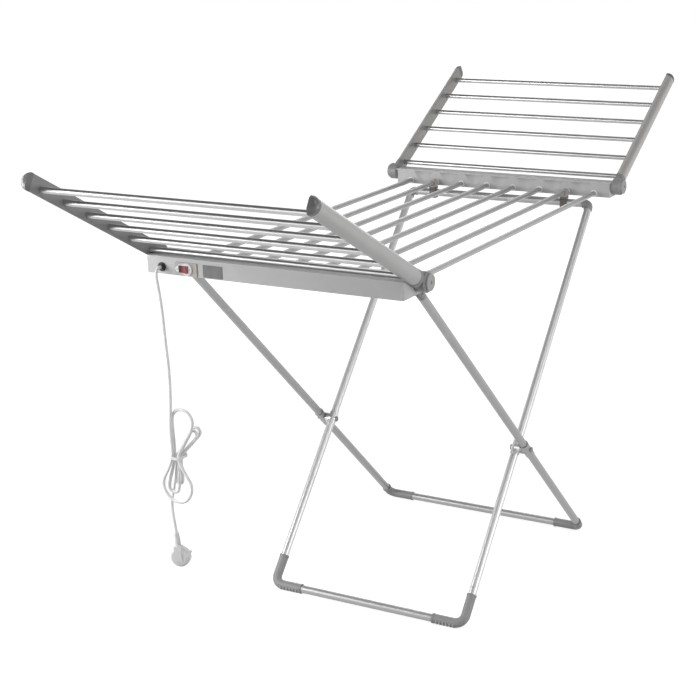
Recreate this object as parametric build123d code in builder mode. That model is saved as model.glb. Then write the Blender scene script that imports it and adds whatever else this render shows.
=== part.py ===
from build123d import *
import math
import os

os.makedirs("parts", exist_ok=True)

# A folding clothes airer with electrically warmed bars. Sizes are in millimetres.
# X runs along the bars of the rack, Y across them and Z up. The switch rail is at -X.
# The floor is z = 0 and the origin lies on it, under the middle of the airer.

# Rack: bars between two moulded rails
main_bars = 8
bar_dia = 10.0
bar_wall = 1.0
main_pitch = 60.0
bar_height = 697.5
rack_opening = 816.6
bar_seat = 12.0

# Rails: open troughs closed by a lid
near_rail_depth = 59.7
far_rail_depth = 28.3
rail_end_margin = 36.0
rail_height = 30.5
rail_lip = 2.0
rail_wall = 2.5
lid_thickness = 3.0
lid_overhang = 0.8
lid_round = 1.0
gland_corner = 10.0
rail_corner = 2.5
rail_plan_round = 5.0
scoop_radius = 40.0
scoop_depth = 7.0

# Ferrules round the bars where they enter a rail
ferrule_dia = 14.0
ferrule_flange = 2.0
ferrule_wall = 1.0

# Wings: bars between two half-round arms, on pins at the rails' ends
wing_bars = 6
wing_pitch = 59.0
wing_first = 34.3
wing_bar_drop = 3.1
wing_angle = 30.0
arm_end = 353.0
hinge_from_middle = 422.0
hinge_over_bars = 15.0
arm_clearance = 3.0
arm_height = 29.0
arm_wall = 1.6
wing_bar_seat = 9.0

# Hinge knuckles, pins and discs, and the caps at the arms' tips
knuckle_dia = 34.0
knuckle_gap = 0.6
knuckle_chamfer = 2.5
knuckle_past_arm = 2.7
neck_length = 24.0
neck_collar = 7.0
collar_step = 0.6
spigot_length = 4.0
hinge_pin_dia = 7.0
hinge_pin_seat = 14.0
hinge_boss_end = 2.0
pin_in_disc = 1.2
disc_dia = 28.0
disc_thickness = 3.0
disc_round = 1.0
disc_recess_dia = 5.6
disc_recess_depth = 1.2
tip_cap_length = 13.0
tip_cap_step = 0.3
tip_cap_round = 9.0

# Legs: an outer frame hung from the switch rail, an inner frame clipped under the far end
leg_dia = 15.0
leg_wall = 1.2
elbow_dia = 17.6
collar_dia = 19.0
collar_width = 3.0
frame_spacing = 21.7
outer_pivot_from_rail = 11.3
outer_pivot_drop = 0.5
outer_foot = 306.3
inner_foot = -201.4
inner_top_from_rail = 10.0
inner_top_drop = 20.7
outer_bend = 14.0
outer_leg_sleeve = 26.0
outer_bar_sleeve = 56.0
inner_bend = 18.0
inner_leg_sleeve = 58.0
inner_bar_sleeve = 62.0
top_bend = 9.0
top_sleeve = 14.0
top_elbow_dia = 16.6
top_collar_dia = 17.6
top_collar_width = 1.6
sole_ribs = 6
sole_pitch = 7.0
sole_rib_width = 3.0

# Lugs on the switch rail and the eyes that hang between them
eye_thickness = 10.0
eye_radius = 8.0
eye_neck = 13.0
eye_pin_dia = 6.0
lug_thickness = 3.0
lug_radius = 8.5
lug_height = 13.0
lug_gap = 0.4
lug_past_ferrule = 0.6
insert_start = 22.0
insert_end = 34.0
insert_spigot = 20.0

# Crossing of the two frames
crossing_pin_dia = 6.0
crossing_head_dia = 11.0
crossing_head = 1.6
outer_sleeve_length = 44.0
inner_sleeve_length = 26.0
sleeve_wall = 1.4
crossing_pad_dia = 20.0

# Clips that hang from two bars and hold the inner frame's top bar
clip_width = 13.0
clip_wall = 2.6
clip_play = 0.4
clip_lip = 5.0
clip_round = 1.5
clip_hole_dia = 2.6
clip_hole_spacing = 5.0
clip_hole_depth = 3.0

# Switch in the near rail
switch_from_end = 76.0
switch_over_bars = 5.4
plate_shift = 4.0
plate_width = 44.0
plate_height = 23.0
plate_thickness = 1.6
plate_corner = 2.0
bezel_radius = 10.4
bezel_tip_radius = 4.5
bezel_offset = 6.2
bezel_tip_offset = 12.0
bezel_thickness = 1.6
case_wall = 1.2
case_depth = 16.0
rocker_width = 19.0
rocker_height = 12.0
rocker_tilt = 8.0
rocker_end_height = 5.2
rocker_middle_height = 3.8
rocker_behind = 3.5
rocker_play = 0.3
rocker_pin_dia = 2.0
rocker_pin_length = 0.9

# Gland, cord and its hank
gland_from_end = 30.0
gland_over_bars = 5.5
gland_dia = 15.4
gland_flange = 2.0
gland_nose_dia = 11.0
gland_nose = 3.0
gland_barrel_dia = 10.0
cord_dia = 5.5
hank_step = 6.3
hank_front = -484.0
waist_y = 206.0
waist_z = 367.0
waist_half = 3.6
waist_bend = 20.0
tie_height = 5.0
tie_thickness = 1.2
tie_room = 2.9
tie_shift = -1.3

# Plug and its strain relief
relief_length = 24.0
relief_top_dia = 9.0
relief_base_dia = 11.0
relief_slots = 5
relief_slot = 1.6
relief_pitch = 4.0
relief_core = 3.2
plug_dia = 37.0
plug_base = 9.0
plug_crown = 6.0
plug_crown_dia = 27.0
plug_reach = 21.0
tongue_width = 13.0
tongue_depth = 5.5
tongue_rise = 1.5
tongue_past_centre = 7.0
tongue_round = 2.0
plug_pin_dia = 4.8
plug_pin_length = 19.0
plug_pin_spacing = 19.0

# Fits between pieces
seat_gap = 0.05
part_gap = 0.3

# Places worked out from the sizes
bar_radius = bar_dia / 2
leg_radius = leg_dia / 2
cord_radius = cord_dia / 2
rail_inner = rack_opening / 2
rail_bottom = bar_height - bar_radius - rail_lip
rail_top = rail_bottom + rail_height
body_top = rail_top - lid_thickness
rail_half = (main_bars - 1) * main_pitch / 2 + rail_end_margin
rail_length = 2 * rail_half
near_front = -rail_inner - near_rail_depth
hinge_height = bar_height + hinge_over_bars
arm_inner = rail_half + arm_clearance
arm_radius = arm_height / 2
arm_outer = arm_inner + arm_radius
knuckle_outer = arm_outer + knuckle_past_arm
disc_inner = knuckle_outer + part_gap
floor_bar_height = collar_dia / 2
outer_pivot_x = -rail_inner + outer_pivot_from_rail
outer_pivot_z = bar_height - outer_pivot_drop
inner_top_x = rail_inner - inner_top_from_rail
inner_top_z = bar_height - inner_top_drop
switch_z = bar_height + switch_over_bars
gland_z = bar_height + gland_over_bars
bar_rows = [(i - (main_bars - 1) / 2) * main_pitch for i in range(main_bars)]
bar_places = [(row, bar_height) for row in bar_rows]
wing_places = [(wing_first + i * wing_pitch, -wing_bar_drop) for i in range(wing_bars)]
lug_inner = bar_rows[-1] + ferrule_dia / 2 + lug_past_ferrule
outer_half_width = lug_inner + lug_thickness + lug_gap + eye_thickness / 2
inner_half_width = outer_half_width - frame_spacing
switch_y = rail_half - switch_from_end
plate_y = switch_y - plate_shift
gland_y = rail_half - gland_from_end
ends = (-1, 1)


def save(shape, name):
    shape.label = name
    export_step(shape, f"parts/{name}.step")


# A plane square to Y, with X and Z as its axes and its normal along -Y
def across(y):
    return Plane.XZ.offset(-y)


# A plane square to Y at a wing's hinge, with its x axis along the arms; side -1 is the near wing
def wing_plane(side, y):
    rise = math.radians(wing_angle)
    along = (side * math.cos(rise), 0, math.sin(rise))
    return Plane(origin=(side * hinge_from_middle, y, hinge_height), x_dir=along, z_dir=(0, -side, 0))


# A plane square to an arm, at a distance from the hinge, with its x axis outwards
def arm_plane(side, end, distance):
    hinge = wing_plane(side, end * arm_inner)
    return Plane(origin=hinge.origin + hinge.x_dir * distance, x_dir=(0, end, 0), z_dir=hinge.x_dir)


# A half-round section whose flat side stands off the plane's middle
def half_round(plane, radius, flat=0.0):
    reach = math.degrees(math.acos(flat / radius))
    with BuildSketch(plane) as section:
        with BuildLine():
            bow = CenterArc((0, 0), radius, -reach, 2 * reach)
            Line(bow @ 1, bow @ 0)
        make_face()
    return section.sketch


def hollow_tube(plane, places, outside, wall, length):
    with BuildPart() as tube:
        with BuildSketch(plane):
            with Locations(*places):
                Circle(outside / 2)
                Circle(outside / 2 - wall, mode=Mode.SUBTRACT)
        extrude(amount=length)
    return tube.part


# Main bars, each one tube from rail to rail
bar_start = Plane.YZ.offset(-rail_inner - bar_seat)
for index, place in enumerate(bar_places):
    bar = hollow_tube(bar_start, [place], bar_dia, bar_wall, rack_opening + 2 * bar_seat)
    save(bar, f"main_bar_{index + 1}")


# Round bushes in a rail's inner wall, one for each bar, with a flange that shows
def ferrules(side):
    inner_face = Plane.YZ.offset(side * rail_inner)
    with BuildPart() as bushes:
        with BuildSketch(inner_face):
            with Locations(*bar_places):
                Circle(ferrule_dia / 2)
        extrude(amount=-side * ferrule_flange)
        with BuildSketch(inner_face):
            with Locations(*bar_places):
                Circle(bar_radius + ferrule_wall)
        extrude(amount=side * rail_wall)
        with BuildSketch(inner_face):
            with Locations(*bar_places):
                Circle(bar_radius + seat_gap)
        extrude(amount=ferrule_flange + rail_wall, both=True, mode=Mode.SUBTRACT)
    return bushes.part


save(ferrules(-1), "near_ferrules")
save(ferrules(1), "far_ferrules")


# A trough with end bosses for the wing pins, a seat for each bar and scoops between the bars
def rail_body(side, depth):
    inner_face = Plane.YZ.offset(side * rail_inner)
    with BuildPart() as body:
        with BuildSketch(inner_face) as outline:
            with Locations((0, rail_bottom)):
                Rectangle(rail_length, body_top - rail_bottom, align=(Align.CENTER, Align.MIN))
            low = outline.vertices().group_by(Axis.Z)[0].sort_by(Axis.Y)
            fillet(low[0], radius=rail_corner)
            fillet(low[-1], radius=gland_corner)
        extrude(amount=side * depth)
        fillet(body.edges().filter_by(Axis.Y).group_by(Axis.Z)[0], radius=rail_corner / 2)
        with BuildSketch(Plane.XY.offset(rail_bottom)) as plan:
            with Locations((side * (rail_inner + depth / 2), 0)):
                Rectangle(depth, rail_length)
            fillet(plan.vertices().group_by(Axis.X)[min(side, 0)], radius=rail_plan_round)
        extrude(amount=rail_height, mode=Mode.INTERSECT)
        with BuildSketch(Plane.XY.offset(rail_bottom + rail_wall)):
            with Locations((side * (rail_inner + depth / 2), 0)):
                Rectangle(depth - 2 * rail_wall, rail_length - 2 * rail_wall)
        extrude(amount=rail_height, mode=Mode.SUBTRACT)
        with BuildSketch(Plane.XY.offset(bar_height)):
            with Locations((side * (rail_inner + rail_wall + scoop_depth / 2), 0)):
                Rectangle(scoop_depth, rail_length - 2 * rail_wall)
        extrude(amount=body_top - bar_height)
        for end in ends:
            with BuildSketch(across(end * (rail_half - rail_wall))):
                with Locations((side * hinge_from_middle, hinge_height)):
                    Circle(body_top - hinge_height)
            extrude(amount=end * (hinge_pin_seat + hinge_boss_end - rail_wall))
            with BuildSketch(across(end * rail_half)):
                with Locations((side * hinge_from_middle, hinge_height)):
                    Circle(hinge_pin_dia / 2 + seat_gap)
            extrude(amount=end * (hinge_pin_seat + seat_gap), mode=Mode.SUBTRACT)
        with BuildSketch(inner_face):
            with Locations(*bar_places):
                Circle(bar_radius + ferrule_wall + seat_gap)
        extrude(amount=side * (rail_wall + seat_gap), mode=Mode.SUBTRACT)
        with BuildSketch(inner_face):
            with Locations(*bar_places):
                Circle(bar_radius + seat_gap)
        extrude(amount=side * (bar_seat + seat_gap), mode=Mode.SUBTRACT)
        lean = math.atan2(scoop_depth, body_top - bar_height)
        for row in bar_rows[:-1]:
            foot = (side * (rail_inner - scoop_radius / math.cos(lean)), row + main_pitch / 2, bar_height)
            with BuildSketch(Plane(origin=foot, z_dir=(side * math.sin(lean), 0, math.cos(lean)))):
                Circle(scoop_radius)
            extrude(amount=scoop_radius, mode=Mode.SUBTRACT)
    return body.part


# The flat lid of a rail, standing a little proud of the scooped wall
def rail_lid(side, depth):
    with BuildPart() as lid:
        with BuildSketch(Plane.XY.offset(body_top)):
            with Locations((side * (rail_inner + depth / 2 - lid_overhang / 2), 0)):
                RectangleRounded(depth + lid_overhang, rail_length, lid_round)
        extrude(amount=lid_thickness)
        fillet(lid.faces().sort_by(Axis.Z)[-1].edges(), radius=lid_round)
    return lid.part


save(rail_body(1, far_rail_depth), "far_rail")
save(rail_lid(1, far_rail_depth), "far_rail_lid")
save(rail_lid(-1, near_rail_depth), "near_rail_lid")

# The near rail also has the outer frame's lugs, the switch opening and the gland's hole
case_width = rocker_width + 2 * rocker_play + 2 * case_wall
case_height = rocker_height + 2 * rocker_play + 2 * case_wall
with BuildPart() as near_rail:
    add(rail_body(-1, near_rail_depth))
    for end in ends:
        for cheek in ends:
            middle = end * outer_half_width + cheek * (eye_thickness + lug_thickness + 2 * lug_gap) / 2
            with BuildSketch(across(middle)):
                with Locations((outer_pivot_x, outer_pivot_z)):
                    Circle(lug_radius)
                with Locations((-rail_inner, outer_pivot_z)):
                    Rectangle(outer_pivot_from_rail, lug_height, align=(Align.MIN, Align.CENTER))
                with Locations((outer_pivot_x, outer_pivot_z)):
                    Circle(eye_pin_dia / 2 + seat_gap, mode=Mode.SUBTRACT)
            extrude(amount=lug_thickness / 2, both=True)
    with BuildSketch(Plane.YZ.offset(near_front)):
        with Locations((switch_y, switch_z)):
            Rectangle(case_width + 2 * seat_gap, case_height + 2 * seat_gap)
        with Locations((gland_y, gland_z)):
            Circle(gland_barrel_dia / 2 + seat_gap)
    extrude(amount=rail_wall, mode=Mode.SUBTRACT)
save(near_rail.part, "near_rail")

# Pins on which the outer frame hangs between its lugs
with BuildPart() as outer_pivot_pins:
    for end in ends:
        with BuildSketch(across(end * outer_half_width)):
            with Locations((outer_pivot_x, outer_pivot_z)):
                Circle(eye_pin_dia / 2)
        extrude(amount=eye_thickness / 2 + lug_gap + lug_thickness, both=True)
save(outer_pivot_pins.part, "outer_pivot_pins")


# A hollow half-round arm, its flat wall drilled for the wing's bars
def arm(side, end):
    with BuildPart() as piece:
        extrude(half_round(arm_plane(side, end, neck_length), arm_radius), amount=arm_end - neck_length)
        hollow = half_round(arm_plane(side, end, neck_length), arm_radius - arm_wall, arm_wall)
        extrude(hollow, amount=arm_end - neck_length, mode=Mode.SUBTRACT)
        with BuildSketch(wing_plane(side, end * arm_inner)):
            with Locations(*wing_places):
                Circle(bar_radius + seat_gap)
        extrude(amount=-side * end * arm_wall, mode=Mode.SUBTRACT)
    return piece.part


# A barrel round the hinge pin with a neck that carries the arm
def knuckle(side, end):
    face = rail_half + knuckle_gap
    with BuildPart() as piece:
        with BuildSketch(wing_plane(side, end * face)):
            Circle(knuckle_dia / 2)
        extrude(amount=-side * end * (knuckle_outer - face))
        chamfer(piece.edges().filter_by(GeomType.CIRCLE), length=knuckle_chamfer)
        extrude(half_round(arm_plane(side, end, 0), arm_radius), amount=neck_length)
        collar = half_round(arm_plane(side, end, neck_length - neck_collar), arm_radius + collar_step)
        extrude(collar, amount=neck_collar)
        fit = arm_wall + seat_gap
        spigot = half_round(arm_plane(side, end, neck_length), arm_radius - fit, fit)
        extrude(spigot, amount=spigot_length)
        with BuildSketch(wing_plane(side, end * face)):
            Circle(hinge_pin_dia / 2 + seat_gap)
        extrude(amount=-side * end * (knuckle_outer - face), mode=Mode.SUBTRACT)
    return piece.part


# A domed cap that closes an arm's tip
def tip_cap(side, end):
    with BuildPart() as cap:
        tip = arm_plane(side, end, arm_end)
        extrude(half_round(tip, arm_radius + tip_cap_step), amount=tip_cap_length)
        rim = cap.faces().sort_by(Axis(tip.origin, tip.z_dir))[-1].edges().filter_by(GeomType.CIRCLE)
        fillet(rim, radius=tip_cap_round)
        fit = arm_wall + seat_gap
        extrude(half_round(tip, arm_radius - fit, fit), amount=-spigot_length)
    return cap.part


for side, wing in ((-1, "near"), (1, "far")):
    save(arm(side, -1), f"{wing}_arm_right")
    save(arm(side, 1), f"{wing}_arm_left")
    save(Compound(children=[knuckle(side, -1), knuckle(side, 1)]), f"{wing}_knuckles")
    save(Compound(children=[tip_cap(side, -1), tip_cap(side, 1)]), f"{wing}_arm_caps")
    wing_reach = arm_inner + wing_bar_seat
    wing_start = wing_plane(side, side * wing_reach)
    bars = hollow_tube(wing_start, wing_places, bar_dia, bar_wall, 2 * wing_reach)
    save(bars, f"{wing}_wing_bars")

# Wing pins in the rails' ends, and the discs that cover their outer ends
hinge_places = [(-hinge_from_middle, hinge_height), (hinge_from_middle, hinge_height)]
with BuildPart() as hinge_pins:
    for end in ends:
        with BuildSketch(across(end * (rail_half - hinge_pin_seat))):
            with Locations(*hinge_places):
                Circle(hinge_pin_dia / 2)
        extrude(amount=-end * (hinge_pin_seat + disc_inner + pin_in_disc - rail_half))
save(hinge_pins.part, "hinge_pins")

with BuildPart() as hinge_discs:
    for end in ends:
        with BuildSketch(across(end * disc_inner)):
            with Locations(*hinge_places):
                Circle(disc_dia / 2)
        extrude(amount=-end * disc_thickness)
    rims = hinge_discs.edges().filter_by(GeomType.CIRCLE).sort_by(Axis.Y)
    fillet(rims[:2] + rims[-2:], radius=disc_round)
    for end in ends:
        with BuildSketch(across(end * (disc_inner + disc_thickness))):
            with Locations(*hinge_places):
                Circle(disc_recess_dia / 2)
        extrude(amount=end * disc_recess_depth, mode=Mode.SUBTRACT)
        with BuildSketch(across(end * disc_inner)):
            with Locations(*hinge_places):
                Circle(hinge_pin_dia / 2 + seat_gap)
        extrude(amount=-end * (pin_in_disc + seat_gap), mode=Mode.SUBTRACT)
save(hinge_discs.part, "hinge_discs")

# The frames' directions, from foot to top, and the point where they cross
outer_pivot = Vector(outer_pivot_x, 0, outer_pivot_z)
outer_corner = Vector(outer_foot, 0, floor_bar_height)
inner_top = Vector(inner_top_x, 0, inner_top_z)
inner_corner = Vector(inner_foot, 0, floor_bar_height)
outer_length = (outer_pivot - outer_corner).length
inner_length = (inner_top - inner_corner).length
outer_up = (outer_pivot - outer_corner).normalized()
inner_up = (inner_top - inner_corner).normalized()
outer_slope = outer_up.Z / outer_up.X
inner_slope = inner_up.Z / inner_up.X
crossing_x = (inner_slope * inner_foot - outer_slope * outer_foot) / (inner_slope - outer_slope)
crossing_z = floor_bar_height + inner_slope * (crossing_x - inner_foot)
crossing_place = (crossing_x, crossing_z)


# One side of a frame: a tube from start, drilled for the pin where the frames cross
def side_tube(start, direction, length):
    with BuildPart() as tube:
        with BuildSketch(Plane(origin=start, z_dir=direction)):
            Circle(leg_radius)
            Circle(leg_radius - leg_wall, mode=Mode.SUBTRACT)
        extrude(amount=length)
        with BuildSketch(across(start.Y)):
            with Locations(crossing_place):
                Circle(crossing_pin_dia / 2 + seat_gap)
        extrude(amount=leg_dia, both=True, mode=Mode.SUBTRACT)
    return tube.part


# A moulded bend over the ends of a side tube and a cross bar, with a collar at each mouth
def elbow(corner, up, end, bend, leg_sleeve, bar_sleeve, dia, mouth_dia, mouth_width):
    inward = Vector(0, -end, 0)
    with BuildPart() as piece:
        with BuildLine(Plane(origin=corner, x_dir=inward, z_dir=inward.cross(up))) as path:
            FilletPolyline((bar_sleeve, 0), (0, 0), (0, leg_sleeve), radius=bend)
        with BuildSketch(Plane(origin=path.line @ 0, z_dir=path.line % 0)):
            Circle(dia / 2)
        sweep()
        for outward, reach in ((inward, bar_sleeve), (up, leg_sleeve)):
            mouth = Plane(origin=corner + outward * reach, z_dir=-outward)
            with BuildSketch(mouth):
                Circle(mouth_dia / 2)
            extrude(amount=mouth_width)
            with BuildSketch(mouth):
                Circle(leg_radius + seat_gap)
            extrude(amount=reach - bend, mode=Mode.SUBTRACT)
    return piece.part


# Half rings under a floor elbow's long sleeve, on which the frame stands
def sole(corner, end):
    with BuildPart() as ribs:
        for index in range(sole_ribs):
            reach = inner_bar_sleeve - collar_width - (index + 1) * sole_pitch
            with BuildSketch(across(corner.Y - end * reach)):
                with Locations((corner.X, corner.Z)):
                    Circle(collar_dia / 2)
                    Circle((elbow_dia + leg_dia) / 4, mode=Mode.SUBTRACT)
                    Rectangle(collar_dia, collar_dia, align=(Align.CENTER, Align.MIN), mode=Mode.SUBTRACT)
            extrude(amount=sole_rib_width / 2, both=True)
    return ribs.part


# The moulded eye in the top of an outer side tube
def leg_eye(end):
    pivot = outer_pivot + Vector(0, end * outer_half_width, 0)
    with BuildPart() as eye:
        with BuildSketch(Plane(origin=pivot, x_dir=-outer_up, z_dir=(0, -1, 0))):
            Circle(eye_radius)
            Rectangle(insert_start, eye_neck, align=(Align.MIN, Align.CENTER))
            Circle(eye_pin_dia / 2 + seat_gap, mode=Mode.SUBTRACT)
        extrude(amount=eye_thickness / 2, both=True)
        with BuildSketch(Plane(origin=pivot - outer_up * insert_start, z_dir=-outer_up)):
            Circle(leg_radius)
        extrude(amount=insert_end - insert_start)
        with BuildSketch(Plane(origin=pivot - outer_up * insert_end, z_dir=-outer_up)):
            Circle(leg_radius - leg_wall - seat_gap)
        extrude(amount=insert_spigot)
    return eye.part


# A sleeve round a side tube at the crossing, with a round pad towards the other frame
def crossing_sleeve(up, row, length, pad_face, head_face):
    middle = Vector(crossing_x, row, crossing_z)
    with BuildPart() as sleeve:
        with BuildSketch(Plane(origin=middle - up * (length / 2), z_dir=up)):
            Circle(leg_radius + sleeve_wall)
        extrude(amount=length)
        for face, dia in ((pad_face, crossing_pad_dia), (head_face, crossing_head_dia)):
            with BuildSketch(across(row)):
                with Locations(crossing_place):
                    Circle(dia / 2)
            extrude(amount=row - face)
        with BuildSketch(Plane(origin=middle - up * (length / 2), z_dir=up)):
            Circle(leg_radius + seat_gap)
        extrude(amount=length, mode=Mode.SUBTRACT)
        with BuildSketch(across(row)):
            with Locations(crossing_place):
                Circle(crossing_pin_dia / 2 + seat_gap)
        extrude(amount=leg_dia, both=True, mode=Mode.SUBTRACT)
    return sleeve.part


# Outer frame
floor_mouth = (elbow_dia, collar_dia, collar_width)
top_mouth = (top_elbow_dia, top_collar_dia, top_collar_width)
for end, hand in ((-1, "right"), (1, "left")):
    row = Vector(0, end * outer_half_width, 0)
    tube_length = outer_length - insert_end - outer_bend
    save(side_tube(outer_pivot + row - outer_up * insert_end, -outer_up, tube_length), f"outer_leg_{hand}")
    sleeves = (outer_leg_sleeve, outer_bar_sleeve)
    corner = elbow(outer_corner + row, outer_up, end, outer_bend, *sleeves, *floor_mouth)
    save(corner, f"outer_elbow_{hand}")
save(Compound(children=[leg_eye(-1), leg_eye(1)]), "outer_leg_eyes")
outer_bar_half = outer_half_width - outer_bend
outer_bar = hollow_tube(
    across(-outer_bar_half), [(outer_foot, floor_bar_height)], leg_dia, leg_wall, -2 * outer_bar_half
)
save(outer_bar, "outer_floor_bar")

# Inner frame
inner_tube_length = inner_length - inner_bend - top_bend
for end, hand in ((-1, "right"), (1, "left")):
    row = Vector(0, end * inner_half_width, 0)
    save(side_tube(inner_corner + row + inner_up * inner_bend, inner_up, inner_tube_length), f"inner_leg_{hand}")
    sleeves = (inner_leg_sleeve, inner_bar_sleeve)
    with BuildPart() as foot:
        add(elbow(inner_corner + row, inner_up, end, inner_bend, *sleeves, *floor_mouth))
        add(sole(inner_corner + row, end))
    save(foot.part, f"inner_elbow_{hand}")
    corner = elbow(inner_top + row, -inner_up, end, top_bend, top_sleeve, top_sleeve, *top_mouth)
    save(corner, f"inner_top_elbow_{hand}")
for bar_name, bend, place in (
    ("inner_floor_bar", inner_bend, (inner_foot, floor_bar_height)),
    ("inner_top_bar", top_bend, (inner_top_x, inner_top_z)),
):
    bar_half = inner_half_width - bend
    save(hollow_tube(across(-bar_half), [place], leg_dia, leg_wall, -2 * bar_half), bar_name)

# Sleeves and pins at the crossing: each pin is fast in the outer frame and turns in the inner one
crest = leg_radius + sleeve_wall
pad_middle = (outer_half_width + inner_half_width) / 2
outer_sleeves = []
inner_sleeves = []
for end in ends:
    outer_faces = [end * (pad_middle + part_gap / 2), end * (outer_half_width + crest)]
    inner_faces = [end * (pad_middle - part_gap / 2), end * (inner_half_width - crest)]
    outer_sleeves.append(crossing_sleeve(outer_up, end * outer_half_width, outer_sleeve_length, *outer_faces))
    inner_sleeves.append(crossing_sleeve(inner_up, end * inner_half_width, inner_sleeve_length, *inner_faces))
save(Compound(children=outer_sleeves), "outer_crossing_sleeves")
save(Compound(children=inner_sleeves), "inner_crossing_sleeves")

with BuildPart() as crossing_pins:
    for end in ends:
        outer_seat = outer_half_width + crest
        inner_seat = inner_half_width - crest - part_gap
        with BuildSketch(across(end * inner_seat)):
            with Locations(crossing_place):
                Circle(crossing_pin_dia / 2)
        extrude(amount=-end * (outer_seat - inner_seat))
        with BuildSketch(across(end * outer_seat)):
            with Locations(crossing_place):
                Circle(crossing_head_dia / 2)
        extrude(amount=-end * crossing_head)
        with BuildSketch(across(end * inner_seat)):
            with Locations(crossing_place):
                Circle(crossing_head_dia / 2)
        extrude(amount=end * crossing_head)
save(crossing_pins.part, "crossing_pins")


# A clip: a ring round a warm bar over a jaw that is open towards the far rail
def clip(row):
    jaw_radius = leg_radius + clip_play
    back = inner_top_x - jaw_radius - clip_wall
    front = inner_top_x + clip_lip
    low = inner_top_z - jaw_radius - clip_wall
    with BuildPart() as piece:
        with BuildSketch(across(row)) as block:
            with Locations((back, low)):
                Rectangle(front - back, bar_height - low, align=(Align.MIN, Align.MIN))
            fillet(block.vertices().group_by(Axis.Z)[0], radius=clip_round)
            with Locations((inner_top_x, inner_top_z)):
                Circle(jaw_radius, mode=Mode.SUBTRACT)
                Rectangle(clip_lip, 2 * jaw_radius, align=(Align.MIN, Align.CENTER), mode=Mode.SUBTRACT)
        extrude(amount=clip_width / 2, both=True)
        with BuildSketch(Plane.YZ.offset(back)):
            with Locations((row, bar_height)):
                Circle(bar_radius + clip_wall)
        extrude(amount=front - back)
        with BuildSketch(Plane.YZ.offset(back)):
            with Locations((row, bar_height)):
                Circle(bar_radius + seat_gap)
        extrude(amount=front - back, mode=Mode.SUBTRACT)
        with BuildSketch(Plane.YZ.offset(back)):
            with Locations((row, inner_top_z + jaw_radius)):
                with GridLocations(clip_hole_spacing, 0, 2, 1):
                    Circle(clip_hole_dia / 2)
        extrude(amount=clip_hole_depth, mode=Mode.SUBTRACT)
    return piece.part


save(clip(bar_rows[1]), "clip_right")
save(clip(bar_rows[-2]), "clip_left")

# Switch plate on the rail's front
with BuildPart() as switch_plate:
    with BuildSketch(Plane.YZ.offset(near_front)):
        with Locations((plate_y, switch_z)):
            RectangleRounded(plate_width, plate_height, plate_corner)
        with Locations((switch_y, switch_z)):
            Rectangle(case_width + 2 * seat_gap, case_height + 2 * seat_gap, mode=Mode.SUBTRACT)
    extrude(amount=-plate_thickness)
save(switch_plate.part, "switch_plate")

# Switch case: a drop-shaped bezel on the plate and a box through the wall, open to the front
plate_front = near_front - plate_thickness
pivot_x = near_front
with BuildPart() as switch_case:
    with BuildSketch(Plane.YZ.offset(plate_front)):
        with Locations((switch_y - bezel_offset, switch_z)):
            Circle(bezel_radius)
        with Locations((switch_y + bezel_tip_offset, switch_z)):
            Circle(bezel_tip_radius)
        make_hull()
    extrude(amount=-bezel_thickness)
    with BuildSketch(Plane.YZ.offset(plate_front)):
        with Locations((switch_y, switch_z)):
            Rectangle(case_width, case_height)
    extrude(amount=plate_thickness + case_depth)
    with BuildSketch(Plane.YZ.offset(plate_front - bezel_thickness)):
        with Locations((switch_y, switch_z)):
            Rectangle(case_width - 2 * case_wall, case_height - 2 * case_wall)
    extrude(amount=bezel_thickness + plate_thickness + case_depth - case_wall, mode=Mode.SUBTRACT)
    with BuildSketch(Plane.XY.offset(switch_z)):
        with Locations((pivot_x, switch_y)):
            Circle(rocker_pin_dia / 2 + seat_gap)
    extrude(amount=rocker_height / 2 + rocker_pin_length + seat_gap, both=True, mode=Mode.SUBTRACT)
save(switch_case.part, "switch_case")

# Rocker: two faces that meet in a shallow V, round ends about its pin, tipped to one side
rocker_end = math.sqrt((rocker_width / 2) ** 2 - rocker_end_height**2)
rocker_back = math.sqrt((rocker_width / 2) ** 2 - rocker_behind**2)
tilt = math.radians(rocker_tilt)
rocker_frame = Plane(
    origin=(pivot_x, switch_y, switch_z),
    x_dir=(-math.sin(tilt), -math.cos(tilt), 0),
    z_dir=(0, 0, 1),
)
with BuildPart() as rocker:
    with BuildSketch(rocker_frame):
        with BuildLine():
            Polyline((-rocker_end, -rocker_end_height), (0, -rocker_middle_height), (rocker_end, -rocker_end_height))
            ThreePointArc((rocker_end, -rocker_end_height), (rocker_width / 2, 0), (rocker_back, rocker_behind))
            Line((rocker_back, rocker_behind), (-rocker_back, rocker_behind))
            ThreePointArc((-rocker_back, rocker_behind), (-rocker_width / 2, 0), (-rocker_end, -rocker_end_height))
        make_face()
    extrude(amount=rocker_height / 2, both=True)
    with BuildSketch(rocker_frame):
        Circle(rocker_pin_dia / 2)
    extrude(amount=rocker_height / 2 + rocker_pin_length, both=True)
save(rocker.part, "rocker")

# Gland in the near rail's front
with BuildPart() as gland:
    with BuildSketch(Plane.YZ.offset(near_front)):
        with Locations((gland_y, gland_z)):
            Circle(gland_dia / 2)
    extrude(amount=-gland_flange)
    with BuildSketch(Plane.YZ.offset(near_front - gland_flange)):
        with Locations((gland_y, gland_z)):
            Circle(gland_nose_dia / 2)
    extrude(amount=-gland_nose)
    with BuildSketch(Plane.YZ.offset(near_front)):
        with Locations((gland_y, gland_z)):
            Circle(gland_barrel_dia / 2)
    extrude(amount=rail_wall)
save(gland.part, "cord_gland")


# The largest bend that the two runs beside a point allow
def bend_radii(points):
    radii = []
    for before, here, after in zip(points, points[1:], points[2:]):
        turn = math.radians((here - before).get_angle(after - here))
        shorter = min((here - before).length, (after - here).length)
        radii.append(0.45 * shorter / math.tan(turn / 2))
    return radii


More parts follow.
